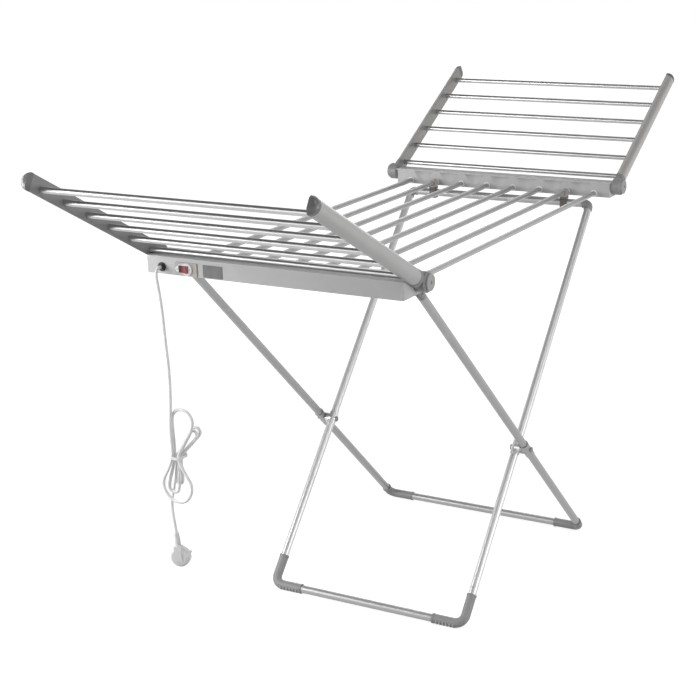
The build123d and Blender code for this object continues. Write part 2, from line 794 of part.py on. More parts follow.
# A round cord along straight runs joined by tangent arcs
def cord(points, radii, name):
    with BuildPart() as tube:
        with BuildLine() as path:
            FilletPolyline(*points, radius=radii)
        with BuildSketch(Plane(origin=path.line @ 0, z_dir=path.line % 0)):
            Circle(cord_radius)
        sweep()
    save(tube.part, name)
    route = path.wires()[0]
    plain = math.pi * cord_radius**2 * route.length
    print(name, "length", round(route.length, 1), "volume share", round(tube.part.volume / plain, 4))
    print(name, "radii", [round(radius, 1) for radius in radii])
    return route


# The hank: each turn is a lower and an upper loop about a shared waist, one layer behind the last.
# A loop is the middle of its end bend, across and up from the waist, and the bend's radius.
lower_loops = [(-2.0, -52.0, 29.5), (10.0, -56.0, 11.0), (2.5, -44.0, 7.5)]
upper_loops = [(-21.0, 69.0, 22.0), (-38.0, 46.0, 8.0), (-40.0, 50.0, 8.5)]
bend_share = 0.985


def hank_point(layer, y, z):
    return Vector(hank_front + layer * hank_step, waist_y + y, waist_z + z)


# Where a strand that touches a loop's bend meets the line square to the loop at its far end
def loop_corner(start, loop, hand):
    y, z, radius = loop
    reach = math.hypot(y, z)
    along = (y / reach, z / reach)
    to_y, to_z = y - start, z
    spread = hand * math.asin(radius / math.hypot(to_y, to_z))
    heading = math.atan2(to_z, to_y) + spread
    step = (radius + to_y * along[0] + to_z * along[1]) / (
        math.cos(heading) * along[0] + math.sin(heading) * along[1]
    )
    return start + step * math.cos(heading), step * math.sin(heading)


hank_route = [hank_point(0, waist_half, 0) + Vector(-3.2, -1.6, 32.0), hank_point(0, waist_half, 0)]
hank_radii = [waist_bend]
for layer, (lower, upper) in enumerate(zip(lower_loops, upper_loops)):
    for loop, start, finish in ((lower, waist_half, -waist_half), (upper, -waist_half, waist_half)):
        hank_route.append(hank_point(layer, *loop_corner(start, loop, 1)))
        hank_route.append(hank_point(layer, *loop_corner(finish, loop, -1)))
        hank_radii += [bend_share * loop[2], bend_share * loop[2]]
        next_layer = layer + (1 if loop is upper else 0)
        hank_route.append(hank_point(next_layer, finish, 0))
        hank_radii.append(waist_bend)
hank_route.append(hank_route[-1] + Vector(-1.0, 20.0, -77.0))
hank_line = cord(hank_route, hank_radii, "cord_hank")

# The hank's least gap to itself, between stretches that aren't neighbours along the cord
samples = 600
spacing = hank_line.length / samples
spots = [hank_line @ (i / samples) for i in range(samples + 1)]
apart = int(4 * cord_dia / spacing)
least = min(
    (spots[i] - spots[j]).length for i in range(len(spots)) for j in range(i + apart, len(spots))
)
print("cord_hank least gap", round(least - cord_dia, 2))

# Upper stretch of the cord, from the gland down to the hank
gland_end = Vector(near_front - gland_flange - gland_nose, gland_y, gland_z)
upper_route = [
    gland_end,
    gland_end + Vector(-7.5, 0, 0),
    Vector(-488.5, 215.0, 695.0),
    Vector(-489.0, 211.5, 674.0),
    Vector(-488.5, 207.0, 636.0),
    Vector(-488.5, 205.0, 580.0),
    Vector(-488.5, 201.0, 524.0),
    Vector(-489.5, 202.5, 470.0),
    hank_route[0] + Vector(-2.4, -1.2, 24.0),
    hank_route[0],
]
cord(upper_route, bend_radii(upper_route), "cord_upper")

# Lower stretch, from the hank to the plug's strain relief
relief_down = Vector(-0.04, -0.12, -0.99).normalized()
relief_top = Vector(-473.0, 223.0, 219.5)
tail_route = [
    hank_route[-1],
    hank_route[-1] + Vector(-0.2, 4.0, -15.4),
    Vector(-469.0, 231.0, 254.5),
    relief_top - relief_down * 14.0,
    relief_top,
]
cord(tail_route, bend_radii(tail_route), "cord_tail")

# The band that ties the hank at its waist
layers = len(lower_loops)
tie_middle = hank_point(layers / 2, tie_shift, 0)
tie_length = layers * hank_step + cord_dia + 4 * part_gap
tie_breadth = 2 * (waist_half + tie_room) + cord_dia
with BuildPart() as cord_tie:
    with BuildSketch(Plane(origin=tie_middle)):
        RectangleRounded(tie_length + 2 * tie_thickness, tie_breadth + 2 * tie_thickness, cord_radius + tie_thickness)
        RectangleRounded(tie_length, tie_breadth, cord_radius, mode=Mode.SUBTRACT)
    extrude(amount=tie_height / 2, both=True)
save(cord_tie.part, "cord_tie")

# Strain relief of the plug, slotted from both sides
relief_side = relief_down.cross(Vector(-1, 0, 0)).normalized()
with BuildPart() as plug_relief:
    for distance, dia in ((0, relief_top_dia), (relief_length, relief_base_dia)):
        with BuildSketch(Plane(origin=relief_top + relief_down * distance, z_dir=relief_down)):
            Circle(dia / 2)
    loft()
    for index in range(relief_slots):
        cut_at = relief_top + relief_down * (relief_pitch * (index + 1) - relief_slot / 2)
        with BuildSketch(Plane(origin=cut_at, x_dir=relief_side, z_dir=relief_down)):
            with Locations((relief_core, 0)):
                Rectangle(relief_base_dia, relief_base_dia, align=(Align.MIN, Align.CENTER))
            with Locations((-relief_core, 0)):
                Rectangle(relief_base_dia, relief_base_dia, align=(Align.MAX, Align.CENTER))
        extrude(amount=relief_slot, mode=Mode.SUBTRACT)
save(plug_relief.part, "plug_relief")

# Plug: a round base with a sloping crown and a raised tongue that carries the cord
plug_facing = Vector(-0.966, -0.259, 0)
plug_front = (plug_facing - relief_down * plug_facing.dot(relief_down)).normalized()
plug_middle = relief_top + relief_down * (relief_length + plug_reach)
plug_plane = Plane(origin=plug_middle, x_dir=relief_down, z_dir=plug_front)
with BuildPart() as plug_body:
    with BuildSketch(plug_plane):
        Circle(plug_dia / 2)
    extrude(amount=-plug_base)
    with BuildSketch(plug_plane):
        Circle(plug_dia / 2)
    with BuildSketch(plug_plane.offset(plug_crown)):
        Circle(plug_crown_dia / 2)
    loft()
    with BuildSketch(plug_plane.offset(-tongue_depth)):
        with Locations((-plug_reach, 0)):
            Rectangle(plug_reach + tongue_past_centre, tongue_width, align=(Align.MIN, Align.CENTER))
    extrude(amount=tongue_depth + plug_crown + tongue_rise)
save(plug_body.part, "plug_body")

with BuildPart() as plug_pins:
    with BuildSketch(plug_plane.offset(-plug_base)):
        with GridLocations(0, plug_pin_spacing, 1, 2):
            Circle(plug_pin_dia / 2)
    extrude(amount=-plug_pin_length)
save(plug_pins.part, "plug_pins")
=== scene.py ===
import math

import bmesh
import bpy
from mathutils import Matrix, Vector


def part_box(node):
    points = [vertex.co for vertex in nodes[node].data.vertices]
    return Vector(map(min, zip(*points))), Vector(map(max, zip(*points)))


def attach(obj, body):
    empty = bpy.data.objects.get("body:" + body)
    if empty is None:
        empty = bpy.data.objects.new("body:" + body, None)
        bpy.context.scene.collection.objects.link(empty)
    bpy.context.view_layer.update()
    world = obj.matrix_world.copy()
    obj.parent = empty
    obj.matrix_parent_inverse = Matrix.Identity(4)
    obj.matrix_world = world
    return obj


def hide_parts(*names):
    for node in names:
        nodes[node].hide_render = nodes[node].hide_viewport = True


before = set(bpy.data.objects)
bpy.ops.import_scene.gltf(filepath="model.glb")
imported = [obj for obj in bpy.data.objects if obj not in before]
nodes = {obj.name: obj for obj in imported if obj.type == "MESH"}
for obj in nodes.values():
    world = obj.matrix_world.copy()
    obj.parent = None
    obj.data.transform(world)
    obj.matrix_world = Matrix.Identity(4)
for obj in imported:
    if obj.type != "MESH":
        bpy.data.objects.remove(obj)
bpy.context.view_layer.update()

# A folding clothes airer with warmed bars, dressed for a studio picture.
# Everything is in metres, on the same axes as the frame: X along the main bars, Z up.


print("frame loaded:", len(nodes), "nodes")


# Shader nodes written as sums: a Value is one output socket, and sums on it add Math nodes.
class Value:
    def __init__(self, shading, socket):
        self.shading = shading
        self.socket = socket

    def sum(self, operation, first, second):
        return self.shading.add("ShaderNodeMath", {"operation": operation}, {0: first, 1: second})

    def atLeast(self, other):
        return self.sum("MAXIMUM", self, other)

    def __add__(self, other):
        return self.sum("ADD", self, other)

    def __sub__(self, other):
        return self.sum("SUBTRACT", self, other)

    def __rsub__(self, other):
        return self.sum("SUBTRACT", other, self)

    def __mul__(self, other):
        return self.sum("MULTIPLY", self, other)

    def __pow__(self, other):
        return self.sum("POWER", self, other)

    __radd__ = __add__
    __rmul__ = __mul__


# A node tree with one way to add any node: its type, its settings, then its inputs.
class Shading:
    def __init__(self, tree):
        self.tree = tree

    def add(self, kind, settings=None, inputs=None, output=0):
        node = self.tree.nodes.new(kind)
        for name, setting in (settings or {}).items():
            if name == "stops":
                self.setStops(node.color_ramp, setting)
            else:
                setattr(node, name, setting)
        for name, value in (inputs or {}).items():
            self.join(node.inputs[name], value)
        return Value(self, node.outputs[output])

    def setStops(self, ramp, stops):
        while len(ramp.elements) < len(stops):
            ramp.elements.new(0.5)
        for element, (place, level) in zip(ramp.elements, stops):
            element.position = place
            element.color = (level, level, level, 1)

    def join(self, socket, value):
        if isinstance(value, Value):
            self.tree.links.new(value.socket, socket)
        else:
            socket.default_value = value

    # One for rays from the eye, gloss or glass, and nought for the light that a surface casts.
    def seen(self):
        kinds = ("Camera", "Glossy", "Transmission")
        rays = [self.add("ShaderNodeLightPath", output=f"Is {kind} Ray") for kind in kinds]
        return rays[0].atLeast(rays[1]).atLeast(rays[2])

    def place(self):
        return self.add("ShaderNodeTexCoord", output="Object")

    def vector(self, operation, inputs, output="Vector"):
        return self.add("ShaderNodeVectorMath", {"operation": operation}, inputs, output)

    # How far a point is along one axis from the frame's origin, whichever side it is on.
    def reach(self, axis):
        part = self.add("ShaderNodeSeparateXYZ", None, {0: self.place()}, output=axis)
        return self.add("ShaderNodeMath", {"operation": "ABSOLUTE"}, {0: part})

    def beyond(self, axis, limit):
        return self.add("ShaderNodeMath", {"operation": "GREATER_THAN"}, {0: self.reach(axis), 1: limit})

    def noise(self, place, scale, detail=3.0, roughness=0.5):
        inputs = {"Vector": place, "Scale": scale, "Detail": detail, "Roughness": roughness}
        return self.add("ShaderNodeTexNoise", None, inputs)

    def ramp(self, value, *stops):
        return self.add("ShaderNodeValToRGB", {"stops": stops}, {0: value})

    def blend(self, share, first, second, mode="MIX"):
        settings = {"data_type": "RGBA", "blend_type": mode}
        return self.add("ShaderNodeMix", settings, {0: share, 6: first, 7: second}, output=2)

    # A soft step: the value goes from one level to the other between two limits.
    def fade(self, value, limits):
        settings = {"interpolation_type": "SMOOTHSTEP"}
        return self.add("ShaderNodeMapRange", settings, {"Value": value, **limits})

    def bump(self, height, depth, strength=1.0, normal=None):
        inputs = {"Height": height, "Distance": depth, "Strength": strength}
        if normal:
            inputs["Normal"] = normal
        return self.add("ShaderNodeBump", None, inputs)

    # A place for noise, fine across an axis and coarse along it, so that the noise runs in lines.
    def along(self, axis, fine, coarse):
        place = self.place()
        run = self.vector("DOT_PRODUCT", {0: place, 1: axis}, "Value")
        line = self.vector("SCALE", {0: axis, "Scale": run * (fine - coarse)})
        wide = self.vector("SCALE", {0: place, "Scale": fine})
        return self.vector("SUBTRACT", {0: wide, 1: line})


# One material and its Principled shader.
class Finish(Shading):
    def __init__(self, name):
        self.material = bpy.data.materials.new(name)
        self.material.use_nodes = True
        super().__init__(self.material.node_tree)
        self.shader = self.tree.nodes["Principled BSDF"]

    def set(self, **inputs):
        for name, value in inputs.items():
            self.join(self.shader.inputs[name.replace("_", " ")], value)


def grey(level, warmth=0.0):
    return (level * (1 + warmth), level, level * (1 - warmth), 1)


# Painted shade on one piece: a zone is an axis, a limit, and the shades nearer than the limit and beyond
# it, multiplied into the colour.
def paintedShadeZone(finish, tint, look):
    if "paintedShade" not in look:
        return tint
    axis, limit, near, far = look["paintedShade"]
    shade = finish.blend(finish.beyond(axis, limit), near, far)
    return finish.blend(1.0, tint, shade, "MULTIPLY")


# Drawn or extruded metal: faint lines along its length, cloudy sheen and small rubs.
def drawnMetal(name, axis, look):
    finish = Finish(name)
    place = finish.place()
    drawn = finish.along(axis, look["lineScale"], look["lineRun"])
    lines = finish.noise(drawn, 1.0, detail=2.0, roughness=0.6)
    cloud = finish.noise(place, look["cloudScale"], detail=3.0, roughness=0.55)
    rub = finish.noise(place, look["rubScale"], detail=6.0, roughness=0.7)
    rub = finish.ramp(rub, *look["rubStops"])
    tone = cloud * look["cloudTone"] + lines * look["lineTone"]
    # painted shade from the look's zone, where it has one
    tint = paintedShadeZone(finish, finish.blend(tone, look["dark"], look["light"]), look)
    matt = look["roughness"] + cloud * look["cloudMatt"] + lines * look["lineMatt"]
    finish.set(
        Base_Color=finish.blend(rub * look["rub"], tint, look["worn"]),
        Metallic=look["metallic"],
        Roughness=matt - rub * look["rubShine"],
        Normal=finish.bump(lines, look["lineDepth"]),
    )
    return finish.material


# The ribs under a sole: painted highlights on their crests and painted shade in the hollows between
# them.
def paintedRibShading(finish, tint, ribs):
    turn = (finish.reach("Y") - ribs["first"]) * (2 * math.pi / ribs["pitch"])
    wave = finish.add("ShaderNodeMath", {"operation": "COSINE"}, {0: turn}) * 0.5 + 0.5
    start = ribs["first"] - ribs["pitch"] / 2
    end = start + ribs["count"] * ribs["pitch"]
    row = finish.beyond("Y", start) * (1 - finish.beyond("Y", end))
    sole = row * (1 - finish.beyond("Z", ribs["top"]))
    hollowShaded = finish.blend(sole * (1 - wave) * ribs["hollowShadeShare"], tint, ribs["hollow"])
    return finish.blend(sole * wave ** ribs["crest"], hollowShaded, ribs["colour"])


# Moulded plastic: a fine spark grain, uneven gloss and a faint change of tone.
def mouldedPlastic(name, look):
    finish = Finish(name)
    place = finish.place()
    grain = finish.noise(place, look["grainScale"], detail=2.0, roughness=0.5)
    flow = finish.noise(place, look["flowScale"], detail=4.0, roughness=0.6)
    handling = finish.noise(place, look["markScale"], detail=5.0, roughness=0.65)
    handling = finish.ramp(handling, *look["markStops"])
    # painted shade from the look's zone, where it has one
    tint = paintedShadeZone(finish, finish.blend(flow, look["dark"], look["light"]), look)
    # painted highlights and shade on the sole's ribs
    if "ribs" in look:
        tint = paintedRibShading(finish, tint, look["ribs"])
    matt = look["roughness"] + flow * look["flowMatt"] + grain * look["grainMatt"]
    ripple = finish.bump(flow, look["flowDepth"], look["flowBump"])
    finish.set(
        Base_Color=finish.blend(handling * look["marks"], tint, look["worn"]),
        Roughness=matt - handling * look["markShine"],
        Normal=finish.bump(grain, look["grainDepth"], look["grainBump"], ripple),
        **look.get("coat", {}),
    )
    return finish.material


print("camera")

cameraLook = {
    "azimuth": -61.01,  # degrees, as the two after it
    "elevation": 16.69,
    "roll": -1.54,
    "target": (-0.0098, 0.0178, 0.4577),
    "distance": 2.9405,
    "lens": 79.44,
    "sensor": 36.0,
    "shift": (-0.0747, 0.0),
    "clip": (0.05, 60.0),
}


def makeCamera(look):
    around = math.radians(look["azimuth"])
    above = math.radians(look["elevation"])
    roll = math.radians(look["roll"])
    back = Vector(
        (math.sin(around) * math.cos(above), -math.cos(around) * math.cos(above), math.sin(above))
    )
    right = Vector((math.cos(around), math.sin(around), 0))
    up = back.cross(right)
    side = right * math.cos(roll) + up * math.sin(roll)
    top = up * math.cos(roll) - right * math.sin(roll)
    camera = bpy.data.objects.new("camera", bpy.data.cameras.new("camera"))
    bpy.context.scene.collection.objects.link(camera)
    spot = Vector(look["target"]) + back * look["distance"]
    camera.matrix_world = Matrix.Translation(spot) @ Matrix((side, top, back)).transposed().to_4x4()
    camera.data.sensor_fit = "HORIZONTAL"
    camera.data.sensor_width = look["sensor"]
    camera.data.lens = look["lens"]
    camera.data.shift_x, camera.data.shift_y = look["shift"]
    camera.data.clip_start, camera.data.clip_end = look["clip"]
    bpy.context.scene.camera = camera


makeCamera(cameraLook)

print("cord")

cordLook = {
    "diameter": 0.0055,
    "length": 1.487,
    # from the gland down to the hank
    "upper": [
        (-0.4730, 0.2160, 0.7030),
        (-0.4805, 0.2160, 0.7030),
        (-0.4885, 0.2150, 0.6950),
        (-0.4890, 0.2115, 0.6740),
        (-0.4885, 0.2070, 0.6360),
        (-0.4885, 0.2050, 0.5800),
        (-0.4885, 0.2010, 0.5240),
        (-0.4895, 0.2025, 0.4700),
        (-0.4896, 0.2068, 0.4230),
        (-0.4872, 0.2080, 0.3990),
    ],
    # from the hank to the plug's strain relief
    "tail": [
        (-0.4661, 0.2296, 0.2900),
        (-0.4663, 0.2336, 0.2746),
        (-0.4690, 0.2310, 0.2545),
        (-0.47244, 0.22468, 0.23335),
        (-0.4730, 0.2230, 0.2195),
    ],
    # each turn of the hank is a lower and an upper loop: across, up and bend radius, from the waist
    "lowerLoops": [(-0.0020, -0.0520, 0.0295), (0.0100, -0.0560, 0.0110), (0.0025, -0.0440, 0.0075)],
    "upperLoops": [(-0.0210, 0.0690, 0.0220), (-0.0380, 0.0460, 0.0080), (-0.0400, 0.0500, 0.0085)],
    "waist": (0.2060, 0.3670),  # Y and Z of the tie
    "waistHalf": 0.0036,
    "front": -0.4840,  # X of the first turn
    "step": 0.0063,  # from one turn to the next
    "bendPoints": 4,
    "roundness": 5,  # of its section
    "smoothness": 8,  # along it
}


# Points round one loop: half way out, round the end bend on the bend's tangents, half way back.
def loopPoints(start, finish, loop, bendPoints):
    y, z, radius = loop
    reachOut = math.hypot(y - start, z)
    reachBack = math.hypot(y - finish, z)
    outwards = math.atan2(z, y - start)
    backwards = math.atan2(z, y - finish)
    first = outwards + math.asin(radius / reachOut) + math.pi / 2
    last = backwards - math.asin(radius / reachBack) - math.pi / 2
    while first < last:
        first += 2 * math.pi
    part = (last - first) / bendPoints
    corners = []
    for index in range(bendPoints):
        angle = first + (index + 0.5) * part
        corner = radius / math.cos(part / 2)
        corners.append((y + corner * math.cos(angle), z + corner * math.sin(angle)))
    half = [
        (start + 0.5 * (corners[0][0] - start), 0.5 * corners[0][1]),
        (finish + 0.5 * (corners[-1][0] - finish), 0.5 * corners[-1][1]),
    ]
    return [half[0]] + corners + [half[1]]


def hankPoints(look):
    points = []
    waistY, waistZ = look["waist"]
    half = look["waistHalf"]

    def put(layer, y, z):
        points.append((look["front"] + layer * look["step"], waistY + y, waistZ + z))

    put(0, half, 0)
    for layer, (lower, upper) in enumerate(zip(look["lowerLoops"], look["upperLoops"])):
        for y, z in loopPoints(half, -half, lower, look["bendPoints"]):
            put(layer, y, z)
        put(layer, -half, 0)
        upperPoints = loopPoints(-half, half, upper, look["bendPoints"])
        for y, z in upperPoints[:-1]:
            put(layer, y, z)
        put(layer + 0.5, *upperPoints[-1])
        put(layer + 1, half, 0)
    return points


def makeCord(look):
    route = look["upper"] + hankPoints(look) + look["tail"]
    curve = bpy.data.curves.new("mainsCord", "CURVE")
    curve.dimensions = "3D"
    curve.bevel_depth = 1.0  # times each point's radius
    curve.bevel_resolution = look["roundness"]
    curve.resolution_u = look["smoothness"]
    curve.use_fill_caps = True
    spline = curve.splines.new("NURBS")
    spline.points.add(len(route) - 1)
    for point, place in zip(spline.points, route):
        point.co = (*place, 1)
        point.radius = look["diameter"] / 2
    spline.order_u = 3
    spline.use_endpoint_u = True
    cord = bpy.data.objects.new("mainsCord", curve)
    bpy.context.scene.collection.objects.link(cord)
    return cord


mainsCord = makeCord(cordLook)
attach(mainsCord, "rack")
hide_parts("cord_upper", "cord_hank", "cord_tail")

print("materials")

# Headings of the drawn lines, along each piece as it stands at rest.
wingRise = math.radians(30)
alongX = (1.0, 0.0, 0.0)
alongY = (0.0, 1.0, 0.0)
alongNearArm = (-math.cos(wingRise), 0.0, math.sin(wingRise))
alongFarArm = (math.cos(wingRise), 0.0, math.sin(wingRise))
alongOuterLeg = (-0.715, 0.0, 0.699)
alongInnerLeg = (0.668, 0.0, 0.744)

barLook = {
    "dark": grey(0.40),
    "light": grey(0.50),
    "worn": grey(0.60),
    "metallic": 0.85,
    "roughness": 0.27,
    "lineScale": 600.0,  # across the piece
    "lineRun": 14.0,  # along it
    "lineDepth": 0.000003,
    "lineTone": 0.3,  # share in the tone
    "lineMatt": 0.06,  # roughness added
    "cloudScale": 9.0,
    "cloudTone": 0.7,
    "cloudMatt": 0.08,
    "rubScale": 30.0,
    "rubStops": ((0.58, 0.0), (0.76, 1.0)),
    "rub": 0.25,
    "rubShine": 0.05,  # roughness taken off
}
rackBarLook = {
    **barLook,
    "dark": grey(0.38),
    "light": grey(0.48),
    "metallic": 0.60,
    "roughness": 0.34,
}
armLook = {
    **barLook,
    "dark": grey(0.36, 0.01),
    "light": grey(0.45, 0.01),
    "metallic": 0.30,
    "roughness": 0.30,
    "paintedShade": ("Y", 0.2494, grey(0.62), grey(1.0)),  # painted shade on the flat sides that face the wing's bars, for the shaded rack they reflect
}
# Painted light: the far arms are the same profile as the near ones, in a lighter copy for the light that
# falls on them.
farArmLitLook = {**armLook, "dark": grey(0.45, 0.02), "light": grey(0.55, 0.02)}
# Painted shade: the outer legs are the same tube as the inner ones, in a darker copy for the dim floor
# they reflect.
outerLegShadedLook = {
    **barLook,
    "dark": grey(0.30),
    "light": grey(0.38),
    "metallic": 0.80,
    "roughness": 0.30,
}
# Painted light: the inner legs are the same tube as the outer ones, in a lighter copy for the bright
# light they reflect.
innerLegLitLook = {
    **barLook,
    "dark": grey(0.60),
    "light": grey(0.70),
    "metallic": 0.60,
    "roughness": 0.28,
}
crossBarLook = {
    **barLook,
    "dark": grey(0.38),
    "light": grey(0.47),
    "metallic": 0.50,
    "roughness": 0.36,
}
pinLook = {**barLook, "metallic": 0.9, "roughness": 0.25}
# Painted shade: the pin heads are near black, standing for the dark of the hole in each hinge disc.
hingePinShadeLook = {
    **pinLook,
    "dark": grey(0.03),
    "light": grey(0.06),
    "worn": grey(0.10),
    "metallic": 0.5,
}

plasticLook = {
    "dark": grey(0.27),
    "light": grey(0.33),
    "worn": grey(0.39),
    "roughness": 0.42,
    "grainScale": 900.0,
    "grainDepth": 0.000008,
    "grainBump": 0.6,
    "grainMatt": 0.05,
    "flowScale": 16.0,
    "flowDepth": 0.0002,
    "flowBump": 0.5,
    "flowMatt": 0.08,
    "markScale": 60.0,
    "markStops": ((0.55, 0.0), (0.80, 1.0)),
    "marks": 0.25,
    "markShine": 0.06,
}
ribLook = {
    "first": 0.1523,  # the first crest's distance from the middle
    "pitch": 0.007,
    "count": 6,
    "top": 0.0105,  # how high the painted rib shading reaches
    # the painted highlight on the crests
    "colour": grey(0.54),
    "crest": 2,  # more makes the painted crest highlights narrower
    # the painted shade in the hollows, and how much of it
    "hollow": grey(0.14),
    "hollowShadeShare": 0.6,
}
soleLook = {**plasticLook, "ribs": ribLook}
railLook = {
    **plasticLook,
    "dark": grey(0.47),
    "light": grey(0.53),
    "worn": grey(0.59),
    "roughness": 0.38,
}
knuckleLook = {
    **plasticLook,
    "dark": grey(0.24),
    "light": grey(0.30),
    "worn": grey(0.36),
    "roughness": 0.40,
}
discLook = {
    **plasticLook,
    "dark": grey(0.31, 0.02),
    "light": grey(0.37, 0.02),
    "worn": grey(0.44),
}
bushLook = {
    **plasticLook,
    "dark": grey(0.80, 0.01),
    "light": grey(0.86, 0.01),
    "worn": grey(0.88, 0.01),
}
clipLook = {
    **plasticLook,
    "dark": grey(0.34, 0.04),
    "light": grey(0.42, 0.04),
    "worn": grey(0.50, 0.03),
    "paintedShade": ("Z", 0.6900, grey(0.25, 0.06), grey(1.0)),  # painted shade on the jaw under the ring
}
capLook = {
    **plasticLook,
    "dark": grey(0.15),
    "light": grey(0.19),
    "worn": grey(0.25),
    "roughness": 0.18,
}
plateLook = {
    **plasticLook,
    "dark": grey(0.35, 0.04),
    "light": grey(0.41, 0.04),
    "worn": grey(0.47, 0.03),
}
whiteLook = {
    **plasticLook,
    "dark": grey(0.70),
    "light": grey(0.78),
    "worn": grey(0.82),
    "roughness": 0.3,
}
cordSkinLook = {
    **whiteLook,
    "dark": grey(0.80),
    "light": grey(0.88),
    "worn": grey(0.74),
    "roughness": 0.42,
}
glandLook = {
    **plasticLook,
    "dark": grey(0.012),
    "light": grey(0.022),
    "worn": grey(0.04),
    "roughness": 0.5,
}
rockerLook = {
    **plasticLook,
    "dark": (0.16, 0.006, 0.010, 1),
    "light": (0.30, 0.012, 0.018, 1),
    "worn": (0.45, 0.12, 0.13, 1),
    "roughness": 0.16,
    "grainDepth": 0.000002,
    "paintedShade": ("Y", 0.1740, grey(1.0), grey(0.06)),  # its lower end, in the shade of the case
    "coat": {"Coat_Weight": 0.15, "Coat_Roughness": 0.08},
}

barX = drawnMetal("warmBarAcrossRack", alongX, rackBarLook)
barY = drawnMetal("warmBarAcrossWing", alongY, barLook)
armNear = drawnMetal("nearArmProfile", alongNearArm, armLook)
armFarLit = drawnMetal("farArmProfileLit", alongFarArm, farArmLitLook)
legOuterShaded = drawnMetal("outerLegTubeShaded", alongOuterLeg, outerLegShadedLook)
legInnerLit = drawnMetal("innerLegTubeLit", alongInnerLeg, innerLegLitLook)
legBar = drawnMetal("crossBarTube", alongY, crossBarLook)
pinSteel = drawnMetal("pinSteel", alongY, pinLook)
hingePinPaintedShade = drawnMetal("hingePinPaintedShade", alongY, hingePinShadeLook)
railPlastic = mouldedPlastic("railPlastic", railLook)
elbowPlastic = mouldedPlastic("elbowPlastic", plasticLook)
solePlastic = mouldedPlastic("soleElbowPlastic", soleLook)
knucklePlastic = mouldedPlastic("knucklePlastic", knuckleLook)
discPlastic = mouldedPlastic("discPlastic", discLook)
bushPlastic = mouldedPlastic("ferrulePlastic", bushLook)
clipPlastic = mouldedPlastic("clipPlastic", clipLook)
capPlastic = mouldedPlastic("capPlastic", capLook)
platePlastic = mouldedPlastic("switchPlatePlastic", plateLook)
whitePlastic = mouldedPlastic("whitePlastic", whiteLook)
cordSkin = mouldedPlastic("cordSheath", cordSkinLook)
glandRubber = mouldedPlastic("glandRubber", glandLook)
rockerPlastic = mouldedPlastic("rockerPlastic", rockerLook)

nodeFinishes = {
    railPlastic: ["near_rail", "near_rail_lid", "far_rail", "far_rail_lid"],
    barX: [name for name in nodes if name.startswith("main_bar_")],
    barY: ["near_wing_bars", "far_wing_bars"],
    armNear: ["near_arm_left", "near_arm_right"],
    armFarLit: ["far_arm_left", "far_arm_right"],
    legOuterShaded: ["outer_leg_left", "outer_leg_right", "outer_crossing_sleeves"],
    legInnerLit: ["inner_leg_left", "inner_leg_right", "inner_crossing_sleeves"],
    legBar: ["outer_floor_bar", "inner_floor_bar", "inner_top_bar"],
    elbowPlastic: [
        "outer_elbow_left",
        "outer_elbow_right",
        "inner_top_elbow_left",
        "inner_top_elbow_right",
    ],
    solePlastic: ["inner_elbow_left", "inner_elbow_right"],
    knucklePlastic: ["near_knuckles", "far_knuckles", "outer_leg_eyes", "crossing_pins"],
    discPlastic: ["hinge_discs"],
    bushPlastic: ["near_ferrules", "far_ferrules"],
    clipPlastic: ["clip_left", "clip_right"],
    capPlastic: ["near_arm_caps", "far_arm_caps"],
    platePlastic: ["switch_plate"],
    whitePlastic: ["switch_case", "plug_body", "plug_relief"],
    rockerPlastic: ["rocker"],
    pinSteel: ["outer_pivot_pins", "plug_pins"],
    hingePinPaintedShade: ["hinge_pins"],
    glandRubber: ["cord_gland"],
    cordSkin: ["cord_tie"],
}


def dress(obj, material):
    obj.data.materials.clear()
    obj.data.materials.append(material)


for material, names in nodeFinishes.items():
    for name in names:
        dress(nodes[name], material)
dress(mainsCord, cordSkin)

print("switch plate screws and blank label")


def newPiece(name, form, material, body):
    mesh = bpy.data.meshes.new(name)
    form.to_mesh(mesh)
    form.free()
    piece = bpy.data.objects.new(name, mesh)
    bpy.context.scene.collection.objects.link(piece)
    dress(piece, material)
    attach(piece, body)


screwLook = {
    "radius": 0.0017,
    "rise": 0.0006,
    "slotHalf": 0.0005,
    "slotDepth": 0.0004,
    "rings": 5,
    "rimRings": 1,  # the rings outside the slots' ends
    "sides": 28,
    "fromRocker": 0.0035,
}


# A shallow domed screw head with a cross slot, facing -X.
def screwHead(look):
    form = bmesh.new()
    rings = []
    for ring in range(look["rings"] + 1):
        lean = 0.5 * math.pi * ring / look["rings"]
        radius = look["radius"] * math.cos(lean)
        rise = look["rise"] * math.sin(lean)
        circle = []
        for side in range(look["sides"]):
            angle = 2 * math.pi * side / look["sides"]
            y = radius * math.cos(angle)
            z = radius * math.sin(angle)
            inSlot = min(abs(y), abs(z)) < look["slotHalf"] and ring > look["rimRings"]
            circle.append(form.verts.new((-rise + (look["slotDepth"] if inSlot else 0), y, z)))
        rings.append(circle)
    for inner, outer in zip(rings[1:], rings):
        for side in range(look["sides"]):
            after = (side + 1) % look["sides"]
            form.faces.new((outer[side], outer[after], inner[after], inner[side]))
    bmesh.ops.remove_doubles(form, verts=form.verts, dist=1e-6)
    bmesh.ops.recalc_face_normals(form, faces=form.faces)
    return form


plateLow, plateHigh = (Vector(corner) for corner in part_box("switch_plate"))
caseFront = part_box("switch_case")[0][0]
rockerLow, rockerHigh = (Vector(corner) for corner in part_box("rocker"))
switchZ = (plateLow.z + plateHigh.z) / 2
screwSpots = [
    ("plateScrewLeft", Vector((caseFront, rockerHigh.y + screwLook["fromRocker"], switchZ))),
    ("plateScrewRight", Vector((caseFront, rockerLow.y - screwLook["fromRocker"], switchZ))),
]
for name, spot in screwSpots:
    head = screwHead(screwLook)
    bmesh.ops.translate(head, verts=head.verts, vec=spot)
    newPiece(name, head, pinSteel, "rack")

labelLook = {
    "y": 0.1126,
    "z": 0.7030,
    "width": 0.0395,
    "height": 0.0215,
    "corner": 0.0012,
    "cornerSteps": 4,
    "thickness": 0.00025,
}


